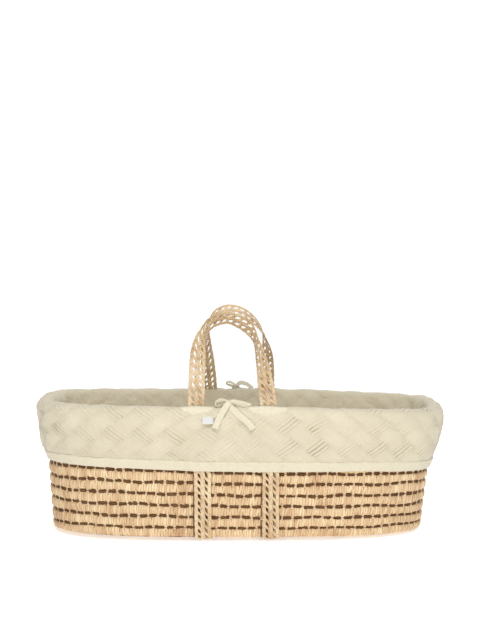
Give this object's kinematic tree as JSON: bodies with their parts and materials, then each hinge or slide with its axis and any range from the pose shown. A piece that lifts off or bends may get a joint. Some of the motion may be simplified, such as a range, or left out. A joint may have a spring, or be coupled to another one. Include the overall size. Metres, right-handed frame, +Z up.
{
  "type": "moses basket",
  "caption": "Oval coiled palm-leaf baby carry basket with leaning plaited strap handles, a padded knit liner folded over the rim, tied bows and a lift-out mattress.",
  "frame": {"origin": "centre of the footprint, on the surface that the basket stands on", "axes": "+X along the basket's length, -Y towards its front side with the label, +Z up"},
  "size_m": [0.8424, 0.4656, 0.4678],
  "materials": {
    "palm_leaf": "dried palm leaf wrapped over coils, matt with a slight natural sheen",
    "palm_braid": "plaited dried palm leaf, matt with a slight natural sheen",
    "knit_fabric": "padded cotton knit with a raised plaited pattern, matt",
    "binding_fabric": "plain woven cotton binding and ribbon, matt",
    "sheet_cotton": "smooth cotton jersey, matt",
    "foam": "open-cell polyurethane foam, matt",
    "elastic": "woven elastic, matt",
    "label_tape": "blank woven tape, slight sheen"
  },
  "bodies": {
    "basket": {"wall_row_01": "palm_leaf", "wall_row_02": "palm_leaf", "wall_row_03": "palm_leaf", "wall_row_04": "palm_leaf", "wall_row_05": "palm_leaf", "wall_row_06": "palm_leaf", "wall_row_07": "palm_leaf", "wall_row_08": "palm_leaf", "wall_row_09": "palm_leaf", "wall_row_10": "palm_leaf", "wall_row_11": "palm_leaf", "base_core": "palm_leaf", "base_row_1": "palm_leaf", "base_row_2": "palm_leaf", "base_row_3": "palm_leaf", "base_row_4": "palm_leaf", "base_row_5": "palm_leaf", "base_row_6": "palm_leaf", "base_row_7": "palm_leaf", "strap_left": "palm_braid", "strap_right": "palm_braid", "liner_wall": "knit_fabric", "liner_rim_roll": "knit_fabric", "liner_skirt": "knit_fabric", "liner_hem": "binding_fabric", "slot_binding_front": "binding_fabric", "slot_binding_rear": "binding_fabric", "tie_left_front": "binding_fabric", "tie_right_front": "binding_fabric", "tie_knot_front": "binding_fabric", "tie_left_rear": "binding_fabric", "tie_right_rear": "binding_fabric", "tie_knot_rear": "binding_fabric", "liner_floor": "sheet_cotton", "label": "label_tape"},
    "handle_front": {"handle_front": "palm_braid"},
    "handle_rear": {"handle_rear": "palm_braid"},
    "mattress": {"mattress_core": "foam", "fitted_sheet": "sheet_cotton", "sheet_elastic": "elastic"}
  },
  "joints": [
    {"name": "front_handle_swing", "type": "hinge", "parent": "basket", "child": "handle_front", "pos_m": [0, -0.2185, 0.272], "axis": [1, 0, 0], "range_deg": [0, 150]},
    {"name": "rear_handle_swing", "type": "hinge", "parent": "basket", "child": "handle_rear", "pos_m": [0, 0.2185, 0.272], "axis": [-1, 0, 0], "range_deg": [0, 150]},
    {"name": "mattress_lift", "type": "slide", "parent": "basket", "child": "mattress", "axis": [0, 0, 1], "range_m": [0, 0.24]}
  ]
}
